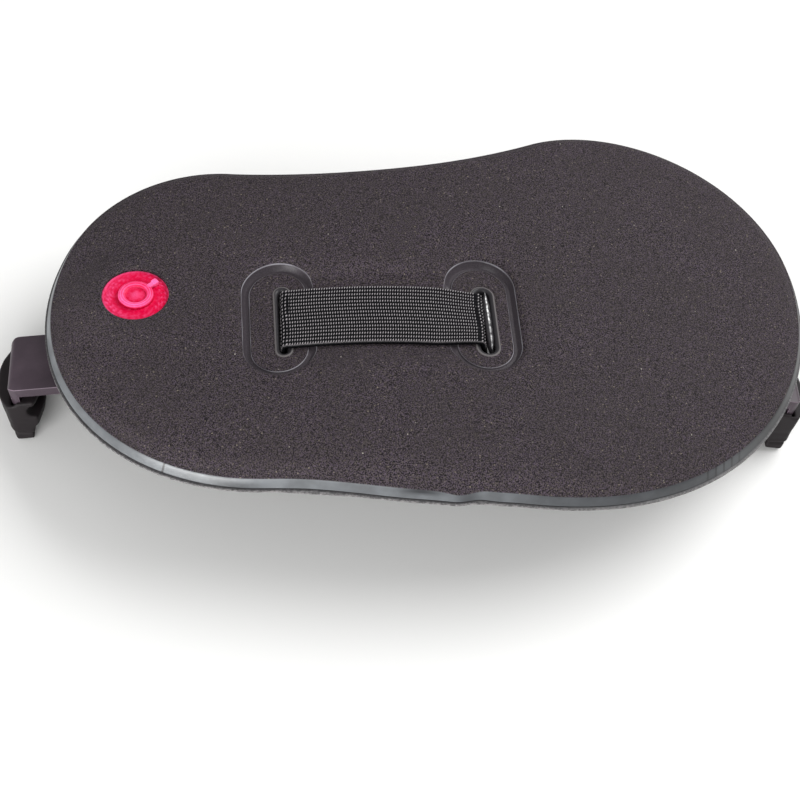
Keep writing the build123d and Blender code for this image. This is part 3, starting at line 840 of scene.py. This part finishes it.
def painted_band_sheen(x, y):
    """Painted sheen on the band round the rim, as a share: bright in front, dimmer to the right, with painted
    shade and painted highlight in the fold.
    """
    front, rim = ramp(-y, 20, 50), rim_distance(x, y)
    sides = {"whole": 1.0, "inner": ramp(rim, 0.25, 0.8), "outer": 1 - ramp(rim, 0.2, 0.9)}
    # The painted sheen is brightest at the front left and fades to the right.
    wear_and_sheen = 1 - 0.62 * ramp(x, 4, 48) - 0.35 * ramp(x, 84, 98)
    for paler, middle, half, side in BAND_SHEEN_STRETCHES:
        wear_and_sheen = wear_and_sheen + paler * bump(x, middle, half) * front * sides[side]
    return np.clip(wear_and_sheen, 0, 1)


def build_top_skin():
    """Top skin with its rim, welds, slots and the valve's hole; returns it and its points' crown weights."""
    weld = (-2.2, -1.75, -1.4, -1.15, -0.95, -0.75, 0.0, 0.75, 0.95, 1.15, 1.4, 1.75, 2.4)
    slot = (0.0, 0.12, 0.3, 0.6, 0.9, 1.15, 1.45, 1.8, 2.1, 2.5)
    plan, faces = plan_mesh(1.15, EDGE_D, weld, slot, (0.0, 0.1, 0.3, 0.6, 1.1, 1.8))
    x, y = plan.T
    rim = rim_distance(x, y)
    height = skin_height(x, y)
    out, up = rim_wave(x, y)
    ground = roof_z(x, TOP_LOW) + up
    hollow = ramp(rim, 3.0, 6.5) * ramp(weld_distance(x, y), 0.2, 3.0)
    lower = ground + np.maximum(height - SKIN, 0) * hollow
    verts, polygons = shell(np.c_[x, y - out], faces, ground + height, lower)
    skin = make("cushion_top_skin", verts, polygons, FOAM, node="cushion_top")
    pinched = 1 + 0.5 * bump(x, PINCH_X, 4.5) * ramp(-y, 40, 60)
    lining = np.zeros(len(x))
    for name, values in (
        # painted sheen of the band
        ("wear_and_sheen", painted_band_sheen(x, y)),
        ("rim", rim * pinched),
        ("weld", weld_distance(x, y)),
        ("slot", slot_distance(x, y)),
    ):
        paint(skin, name, np.r_[values, lining])
    sharpen(skin, 40)
    return skin, np.tile(crown_weights(x, y), 2)


def build_bottom_skin():
    """Bottom skin: a thin sheet that shows as a pale cut line under the band."""
    plan, faces = plan_mesh(1.6, (-BASE_PROUD, 0.1, 0.6, 1.6, 3.2), (), (0.0, 0.8, 2.0))
    x, y = plan.T
    rim = rim_distance(x, y)
    out, up = rim_wave(x, y)
    thin = ramp(rim, -BASE_PROUD, 0.9)
    upper = roof_z(x, BASE_LOW + BASE_THICK) + up - 0.03 - 0.35 * (1 - thin)
    lower = roof_z(x, BASE_LOW) + up - 0.05 * (1 - thin)
    # The quilted underside shows the lie of the air chamber.
    seam = 0.35 * bump(rim, 6.0, 1.2) + 0.25 * bump(weld_distance(x, y), 0, 1.0)
    clear_of_bar = ramp(np.abs(y - BAR_Y), 20, 26) * ramp(rim, 2, 5)
    lower = lower + np.minimum(seam, 0.5) * clear_of_bar
    verts, polygons = shell(np.c_[x, y - out], faces, upper, lower)
    base = make("cushion_bottom_skin", verts, polygons, BASE_VINYL, "bridge", "cushion_base")
    cut = rim < 0.05 - BASE_PROUD
    paint(base, "cut", np.r_[0.35 * cut, cut])
    sharpen(base, 35)


# ---------- strap
def round_corner(before, corner, after, reach, count):
    """Points of a rounded corner between two straight runs."""
    first = corner + (before - corner) / np.linalg.norm(before - corner) * reach
    last = corner + (after - corner) / np.linalg.norm(after - corner) * reach
    t = np.linspace(0, 1, count)[:, None]
    return (1 - t) ** 2 * first + 2 * t * (1 - t) * corner + t**2 * last


def strap_path():
    """Centre line of the strap's loop in x and z, clockwise from the left slot over the cushion."""
    half = STRAP_THICK / 2
    fine, coarse, risers = 0.13, 0.9, 34  # steps over and under the bar, and stations in each slot
    x = np.arange(STRAP_TOP_X[0] + 1.5, STRAP_TOP_X[1] - 1.5, fine)
    over = np.c_[x, roof_z(x, TOP_LOW) + strap_under(x) + half]
    middle = sum(STRAP_X) / 2
    lap_edges = [middle + side * (LAP_HALF + step) for side in (1, -1) for step in (0.02, 0, -0.15)]
    x = np.sort(np.r_[np.arange(STRAP_X[0] + 2, STRAP_X[1] - 2, coarse), lap_edges])[::-1]
    under = np.c_[x, roof_z(x, STRAP_BOTTOM + half)]
    low_left, low_right = (np.array([x, float(roof_z(x, STRAP_BOTTOM + half))]) for x in STRAP_X)
    # The upper run's ends carry on at their own slope as far as the slots.
    left = over[0] + (over[0] - over[6]) / (over[6] - over[0])[0] * (over[0][0] - STRAP_TOP_X[0])
    right = over[-1] + (over[-1] - over[-7]) / (over[-1] - over[-7])[0] * (STRAP_TOP_X[1] - over[-1][0])
    down = right + (low_right - right) * np.linspace(0.16, 0.8, risers)[:, None]
    rise = low_left + (left - low_left) * np.linspace(0.2, 0.84, risers)[:, None]
    bends = (
        round_corner(over[-1], right, low_right, 1.0, 12),
        round_corner(right, low_right, under[0], 1.2, 7),
        round_corner(under[-1], low_left, left, 1.2, 7),
        round_corner(low_left, left, over[0], 1.0, 12),
    )
    return np.vstack([over, bends[0], down, bends[1], under, bends[2], rise, bends[3]])


def weave_lift(face, gaps):
    """Lift and paleness of the outer face, from points across it and the gaps between its stations."""
    rows = np.floor(face / RIB_PITCH)
    rib = np.abs(np.sin(math.pi * (face / RIB_PITCH))) ** 0.8
    cord = bump(np.abs(face), STRAP_WIDTH / 2 - 0.3, 0.24)
    slant = 0.25 * np.sin(face / 3.1) - 0.28 * (face / RIB_PITCH - rows)
    phase = 2 * math.pi * (np.cumsum(gaps)[:, None] / FLOAT_PITCH + slant + 0.06 * (rows % 2))
    floats = rib**1.2 * np.clip(0.4 + 0.85 * np.cos(phase), 0, 1)
    # Where stations are too far apart to carry the floats, only the ribs are left.
    floats[gaps > FLOAT_PITCH / 3] = 0.25 * rib**2
    edge = 0.35 * ramp(np.abs(face), STRAP_WIDTH / 2 - 0.5, STRAP_WIDTH / 2)
    lift = STRAP_THICK / 2 - 0.20 + 0.07 * rib + 0.15 * floats + 0.05 * cord
    return lift - edge, np.maximum(floats, 0.68 * cord)


def build_strap():
    """Woven elastic loop: its ribs and the floats on them are in the mesh."""
    path = strap_path()
    ahead, behind = np.roll(path, -1, 0), np.roll(path, 1, 0)
    tangent = (ahead - behind) / np.linalg.norm(ahead - behind, axis=1)[:, None]
    normal = np.c_[-tangent[:, 1], tangent[:, 0]]
    face = np.linspace(-0.5, 0.5, RIBS * 8 + 1) * STRAP_WIDTH
    back = np.linspace(0.5, -0.5, 12) * STRAP_WIDTH
    lift, weave = weave_lift(face, np.linalg.norm(path - behind, axis=1))
    x, below = path[:, 0], path[:, 1] < roof_z(path[:, 0])
    lap = below * STRAP_THICK * (1 - ramp(np.abs(x - sum(STRAP_X) / 2), LAP_HALF - 0.12, LAP_HALF))
    # The elastic is drawn in a little along its length, and most where it enters the right slot.
    narrower = 0.001 * strap_lift(x) + 0.11 * ramp(x, STRAP_TOP_X[1] - 14, STRAP_TOP_X[1])
    drawn = STRAP_DRAWN - narrower * ~below
    back_lifts = np.full(len(back), 0.12 - STRAP_THICK / 2)
    verts, paler = [], []
    for centre, out, width, lifts, shades in zip(path, normal, drawn, lift + lap[:, None], weave):
        for y, up in zip(np.r_[face, back] * width, np.r_[lifts, back_lifts]):
            verts.append((centre[0] + out[0] * up, STRAP_Y + y, centre[1] + out[1] * up))
        paler += [*shades, *[0.1] * len(back)]
    polygons = tube(len(face) + len(back), len(path), closed=True)
    strap = make("elastic_strap", verts, polygons, ELASTIC, node="strap")
    paint(strap, "weave", paler)
    x, _, z = np.array(verts).T
    return strap, strap_weights(x) * (z > roof_z(x, TOP_LOW + 2))


def build_slot_tongue():
    """Smooth tongue in the right slot, between the strap and the slot's outer wall."""
    cx, cy, length, width, lean = SLOTS[1]
    right = cx + width / 2 - 0.02
    left = STRAP_TOP_X[1] + STRAP_THICK / 2 + 0.25
    across = np.linspace(-1, 1, 15)
    stations = np.linspace(-1, 1, 61)
    verts, glint = [], []
    for t in stations:
        y = np.full(len(across), cy + t * (length / 2 - 0.6))
        half = (right - left) / 2 * max(0.02, 1 - abs(t) ** 5)
        x = (right + left) / 2 - (y - cy) * math.tan(lean) + across * half
        crest = 2.7 + 0.62 * (1 - across**2) ** 0.7 + 0.06 * np.sin(t * 23 + across)
        level = roof_z(x, TOP_LOW)
        verts += [*np.c_[x, y, level + crest], *np.c_[x, y, level + 1.2][::-1]]
        broken = 0.5 + 0.5 * math.sin(t * 31) * math.sin(t * 12 + 1)
        strength = (0.35 + 0.65 * math.exp(-(((t - 0.45) / 0.3) ** 2))) * broken
        glint += [*1.6 * bump(across, 0.15 - 0.1 * t, 0.13) * strength, *[0.0] * len(across)]
    faces = tube(2 * len(across), len(stations))
    tongue = make("slot_tongue", verts, faces, TONGUE, "bridge")
    paint(tongue, "glint", glint)
    sharpen(tongue, 50)


# ---------- valve
def valve_point(outward, aside, level, swell=0.0):
    """Point of the valve, measured outward along the slope, square to it in plan, and along the pull.

    The flange and the cap rise toward the end of the cushion; the shank and the bore don't.
    """
    along = Vector((-math.cos(SLOPE), 0, -math.sin(SLOPE)))
    up = Vector(JOINTS["valve_plug_pull"]["axis"])
    x = ARCH_HALF + VALVE_RUN * math.cos(SLOPE)
    rise = VALVE_TILT * outward * float(ramp(level, FLANGE_TOP - 1.6, FLANGE_TOP - 1.0))
    local = Vector((outward, aside, level + swell + rise))
    frame_of_valve = Matrix((along, up.cross(along), up)).transposed()
    return tuple(frame_of_valve @ local + Vector((-x, VALVE_Y, float(roof_z(x)))))


def turned(profile, name, body, node, segments, paleness, swell=None):
    """Vinyl solid turned about the valve's axis from a closed profile of (radius, level) points."""
    verts, pale = [], []
    for k in range(segments):
        angle = 2 * math.pi * k / segments
        for radius, level in profile:
            extra = swell(radius, angle, level) if swell else 0.0
            verts.append(valve_point(radius * math.cos(angle), radius * math.sin(angle), level, extra))
            pale.append(paleness(radius, angle, level, extra))
    size = len(profile)
    polygons = []
    for k in range(segments):
        a, b = k * size, (k + 1) % segments * size
        polygons += [(a + i, b + i, b + (i + 1) % size, a + (i + 1) % size) for i in range(size)]
    piece = make(name, verts, polygons, RED_VINYL, body, node)
    paint(piece, "pale", pale)


def crinkle(radius, angle):
    """Crinkled outer zone of the flange, strongest on its two sides."""
    if not 5.4 <= radius <= VALVE_HOLE_R + 0.4:
        return 0.0
    sides = 0.25 + 0.75 * abs(math.cos(angle)) ** 1.5
    zone = float(bump(radius, 7.4, 1.5))
    waves = math.sin(radius * 4.1 + 3 * math.sin(angle * 5)) * math.sin(angle * 17 + radius * 2.3)
    waves += 0.7 * math.sin(angle * 29 - radius * 3.7) * math.sin(radius * 5.3 + angle * 3)
    return 0.13 * sides * zone * waves


def build_flange():
    """Flange held under the edge of the skin's hole, with the bore and the stem below it."""
    top, low, corner = FLANGE_TOP, FLANGE_TOP - FLANGE_THICK, 0.2
    face = [(radius, top) for radius in np.arange(FLANGE_R - corner, BORE_R + 0.15, -0.24)]
    profile = [(FLANGE_R, low + corner), (FLANGE_R, top - corner), *face, (BORE_R, top - 0.15)]
    profile += [(BORE_R, STEM_LOW), (STEM_R - corner, STEM_LOW), (STEM_R, STEM_LOW + corner)]
    profile += [(STEM_R, low), (FLANGE_R - corner, low)]

    def swell(radius, angle, level):
        if level < top - 0.01:
            return 0.0
        rim, moat = float(bump(radius, 8.9, 0.35)), float(bump(radius, 5.5, 0.5))
        return crinkle(radius, angle) + 0.16 * rim - 0.12 * moat

    # Paleness: painted light on one side of the crinkled zone, and painted highlights on the crests of the
    # crinkles.
    def paleness(radius, angle, level, extra):
        side = 0.5 + 0.5 * math.cos(angle - 0.3)
        return 0.16 * float(bump(radius, 7.5, 1.5)) * side + 2.6 * max(extra, 0)

    turned(profile, "valve_flange", "cushion_crown", "valve_body", 144, paleness, swell)


def build_cap():
    """Ring-shaped cap with fine ridges and a domed dimple, on a shank."""
    ridge_turn = math.pi * 6.5  # the ridges' phase runs through this from the ring's edge to its dimple
    ring = []
    for t in np.linspace(0, 1, 26):
        radius = CAP_R - 0.12 - (CAP_R - DIMPLE_R - 0.2) * t
        crest = 1.22 - 0.42 * abs(2 * t - 0.9) ** 2.4
        ring.append((radius, CAP_LOW + crest + 0.05 * math.sin(t * ridge_turn)))
    dimple = [(r, CAP_LOW + 0.42 + 0.28 * float(bump(r, 0, 1.3))) for r in np.linspace(DIMPLE_R, 0.04, 12)]
    profile = [(CAP_R, CAP_LOW), (CAP_R, CAP_LOW + 0.55), *ring, (DIMPLE_R + 0.02, CAP_LOW + 0.7), *dimple]
    profile += [(0.04, SHANK_LOW), (SHANK_R - 0.3, SHANK_LOW), (SHANK_R, SHANK_LOW + 0.3), (SHANK_R, CAP_LOW)]

    # Paleness: the raised ring is paler, with painted light on its lit side, painted shade and highlight
    # along its ridges, and a pale top to the dome.
    def paleness(radius, angle, level, extra):
        on_ring = float(ramp(level, CAP_LOW + 0.5, CAP_LOW + 1.15))
        ridge = 0.24 * math.sin((CAP_R - radius) / (CAP_R - DIMPLE_R) * ridge_turn)
        dome = 0.35 * float(bump(radius, 0.5, 1.3))
        lit = 0.72 + 0.28 * math.cos(angle - 1.2)
        return 0.03 + 0.72 * on_ring * lit + ridge * on_ring + 0.8 * dome

    turned(profile, "valve_plug_cap", "valve_plug", "valve_plug", 96, paleness)


def build_tab():
    """Radial pull tab with a thicker end, bent slightly upward."""
    cosine, sine = math.cos(TAB_TURN), math.sin(TAB_TURN)
    verts, pale = [], []
    for reach, half, under, over in TAB:
        corners = ((-half, under), (half, under), (half, over - 0.18), (half - 0.2, over))
        corners += ((0.2 - half, over), (-half, over - 0.18))
        for side, level in corners:
            outward, aside = reach * cosine - side * sine, reach * sine + side * cosine
            verts.append(valve_point(outward, aside, CAP_LOW + level))
            # Painted light: the top of the tab is paler than its sides.
            pale.append(0.95 if level > 0.9 else 0.45)
    faces = tube(len(corners), len(TAB))
    tab = make("valve_pull_tab", verts, faces, RED_VINYL, "valve_plug")
    paint(tab, "pale", pale)
    sharpen(tab, 35)


# ---------- bar, arms, boots, fixings
def copied(node, name, material):
    """New piece with a CAD node's mesh, welded and freed of edges inside flat faces."""
    source = frame["nodes"][node]
    mesh = source.data.copy()
    mesh.name = name
    tool = bmesh.new()
    tool.from_mesh(mesh)
    bmesh.ops.remove_doubles(tool, verts=tool.verts, dist=1e-6)
    bmesh.ops.dissolve_limit(tool, angle_limit=math.radians(0.6), verts=tool.verts, edges=tool.edges)
    tool.to_mesh(mesh)
    tool.free()
    mesh.materials.clear()
    mesh.materials.append(material)
    piece = linked(name, mesh)
    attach(piece, body_of(source)[0])
    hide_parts(node)
    return piece


def apply_modifiers(piece):
    """Bake a piece's modifiers into its mesh, smooth-shaded."""
    depsgraph = bpy.context.evaluated_depsgraph_get()
    mesh = bpy.data.meshes.new_from_object(piece.evaluated_get(depsgraph))
    piece.modifiers.clear()
    piece.data = mesh
    mesh.polygons.foreach_set("use_smooth", [True] * len(mesh.polygons))


def softened(node, name, material, width):
    """Moulded piece: the CAD shape with its sharp edges rounded, and marked where they are, for a painted
    highlight.
    """
    piece = copied(node, name, material)
    bevel = piece.modifiers.new("rounding", "BEVEL")
    bevel.width = width * MM
    bevel.segments = 3
    bevel.limit_method = "ANGLE"
    bevel.angle_limit = math.radians(35)
    # A second material slot tells the rounded faces from the others.
    piece.data.materials.append(material)
    bevel.material = 1
    apply_modifiers(piece)
    mesh = piece.data
    on_edge = np.ones(len(mesh.vertices))
    for polygon in mesh.polygons:
        if polygon.material_index == 0:
            on_edge[list(polygon.vertices)] = 0
        polygon.material_index = 0
    mesh.materials.pop(index=1)
    paint(piece, "edge", on_edge)
    sharpen(piece, 38)


def crease_toe(mesh):
    """Sink the boot's creases into its mesh."""
    points, normals = np.empty(len(mesh.vertices) * 3), np.empty(len(mesh.vertices) * 3)
    mesh.vertices.foreach_get("co", points)
    mesh.vertices.foreach_get("normal", normals)
    points, normals = points.reshape(-1, 3), normals.reshape(-1, 3)
    above = (points[:, 2] - points[:, 2].min()) / MM
    sunk = sum(depth * bump(above, height, half) for depth, height, half in TOE_CREASES)
    points -= normals * sunk[:, None] * MM
    mesh.vertices.foreach_set("co", points.ravel())
    mesh.update()


def rubber_boot(node, name):
    """Boot: the CAD shape remeshed finely and smoothed, so that every edge is soft."""
    piece = copied(node, name, RUBBER)
    remesh = piece.modifiers.new("remesh", "REMESH")
    remesh.mode = "VOXEL"
    remesh.voxel_size = 0.28 * MM
    smooth = piece.modifiers.new("smooth", "SMOOTH")
    smooth.factor = 0.6
    smooth.iterations = 14
    apply_modifiers(piece)
    crease_toe(piece.data)


# ---------- scene
def build_camera():
    """Camera in front of the object and high above it, turned a little to its left and rolled."""
    azimuth, elevation, roll = CAMERA_ANGLES
    flat = math.cos(elevation)
    back = Vector((math.sin(azimuth) * flat, -math.cos(azimuth) * flat, math.sin(elevation)))
    right = Vector((math.cos(azimuth), math.sin(azimuth), 0))
    up = back.cross(right)
    cosine, sine = math.cos(roll), math.sin(roll)
    rolled = (cosine * right + sine * up, cosine * up - sine * right, back)
    camera = bpy.data.cameras.new("camera")
    camera.sensor_width = 36
    camera.lens = CAMERA_LENS
    camera.clip_start = 0.01
    obj = linked("camera", camera)
    obj.matrix_world = Matrix(rolled).transposed().to_4x4()
    obj.location = Vector(CAMERA_AIM) * MM + back * CAMERA_AWAY * MM
    bpy.context.scene.camera = obj


def build_floor():
    floor = bpy.data.meshes.new("floor")
    floor.from_pydata([(-3, -3, 0), (3, -3, 0), (3, 3, 0), (-3, 3, 0)], [], [(0, 1, 2, 3)])
    floor.materials.append(Surface("floor", (0.82, 0.82, 0.81), 0.7).material)
    obj = linked("floor", floor)
    obj.location.z = cad_box[0][2] - 0.0004
    obj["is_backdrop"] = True


def build_lights():
    bpy.context.scene.view_settings.view_transform = "Standard"
    world = bpy.data.worlds.new("studio")
    world.use_nodes = True
    background = world.node_tree.nodes["Background"]
    background.inputs["Color"].default_value = (1, 1, 1, 1)
    background.inputs["Strength"].default_value = 0.45
    bpy.context.scene.world = world
    for name, (place, size, power) in LIGHTS.items():
        lamp = bpy.data.lights.new(name, "AREA")
        lamp.shape = "RECTANGLE"
        lamp.size, lamp.size_y = size
        lamp.energy = power
        obj = linked(name, lamp)
        obj.location = place
        obj.rotation_euler = (Vector(LIGHT_AIM) - obj.location).to_track_quat("-Z", "Y").to_euler()


# ---------- build
skin, skin_weights = build_top_skin()
build_bottom_skin()
strap, strap_shares = build_strap()
build_slot_tongue()
build_flange()
build_cap()
build_tab()
softened("bridge_bar", "bar_moulding", BAR_PLASTIC, 0.5)
for hand in ("left", "right"):
    softened(f"{hand}_arm", f"{hand}_arm_moulding", PLASTIC, 0.45)
    rubber_boot(f"{hand}_boot", f"{hand}_rubber_boot")
    softened(f"{hand}_clamp_screw", f"{hand}_screw_body", STEEL, 0.12)
    softened(f"{hand}_clamp_washer", f"{hand}_washer_ring", STEEL, 0.1)
softened("threaded_inserts", "insert_pair", BRASS, 0.12)
softened("strap_stitching", "lap_stitches", THREAD, 0.08)
softened("valve_flap", "flap_disc", RED_VINYL, 0.08)
weigh(skin, skin_weights)
weigh(strap, strap_shares)
build_camera()
build_floor()
build_lights()

boxes = {"cad": cad_box, "visual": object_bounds()}
{key: [list(map(float, corner)) for corner in box] for key, box in boxes.items()}
